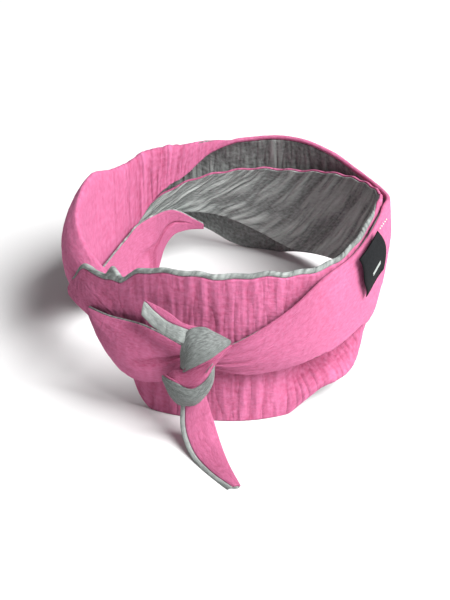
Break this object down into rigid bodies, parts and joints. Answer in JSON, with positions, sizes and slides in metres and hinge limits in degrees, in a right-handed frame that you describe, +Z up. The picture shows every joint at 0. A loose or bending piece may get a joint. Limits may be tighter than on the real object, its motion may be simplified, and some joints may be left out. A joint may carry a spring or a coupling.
{
  "type": "knotted fabric sports headband",
  "caption": "Wide two-ply muslin headband wrapped double round the head, with two loose tails knotted at the front and a folded tape label on its hem.",
  "frame": {"origin": "middle of the headband's bounding box, on the surface it lies on", "axes": "+Z up out of the ring, -Y towards the knot at the wearer's front, +X towards the label"},
  "size_m": [0.194, 0.2355, 0.1038],
  "materials": {
    "face_cloth": "crinkled pink double gauze",
    "lining_cloth": "crinkled grey double gauze",
    "label_tape": "black woven tape",
    "label_thread": "black sewing thread",
    "closing_thread": "cream sewing thread"
  },
  "bodies": {
    "headband": {"front_panel_face": "face_cloth", "front_panel_lining": "lining_cloth", "back_inner_wrap_face": "face_cloth", "back_inner_wrap_lining": "lining_cloth", "right_arm_face": "face_cloth", "right_arm_lining": "lining_cloth", "back_outer_wrap_face": "face_cloth", "back_outer_wrap_lining": "lining_cloth", "left_wrap_face": "face_cloth", "left_wrap_lining": "lining_cloth", "left_roll_face": "face_cloth", "left_roll_lining": "lining_cloth", "left_arm_face": "face_cloth", "left_arm_lining": "lining_cloth", "inner_left_fold_face": "face_cloth", "inner_left_fold_lining": "lining_cloth", "knot_upper_loop": "lining_cloth", "knot_middle_loop": "face_cloth", "knot_lower_loop": "lining_cloth", "closing_stitch": "closing_thread"},
    "long_tail": {"long_tail_face": "face_cloth", "long_tail_lining": "lining_cloth"},
    "short_tail": {"short_tail_face": "face_cloth", "short_tail_lining": "lining_cloth"},
    "label": {"label_tape": "label_tape", "label_mark": "lining_cloth", "label_stitch": "label_thread"}
  },
  "joints": [
    {"name": "long_tail_lift", "type": "hinge", "parent": "headband", "child": "long_tail", "pos_m": [-0.0165, -0.0791, 0.0245], "axis": [-1, 0, 0], "range_deg": [0, 85]},
    {"name": "short_tail_swing", "type": "hinge", "parent": "headband", "child": "short_tail", "pos_m": [-0.024, -0.0722, 0.0703], "axis": [0.2579, -0.093, 0.9617], "range_deg": [0, 75]},
    {"name": "label_flap", "type": "hinge", "parent": "headband", "child": "label", "pos_m": [0.0768, -0.0317, 0.097], "axis": [-0.558, -0.645, -0.522], "range_deg": [0, 110]}
  ]
}
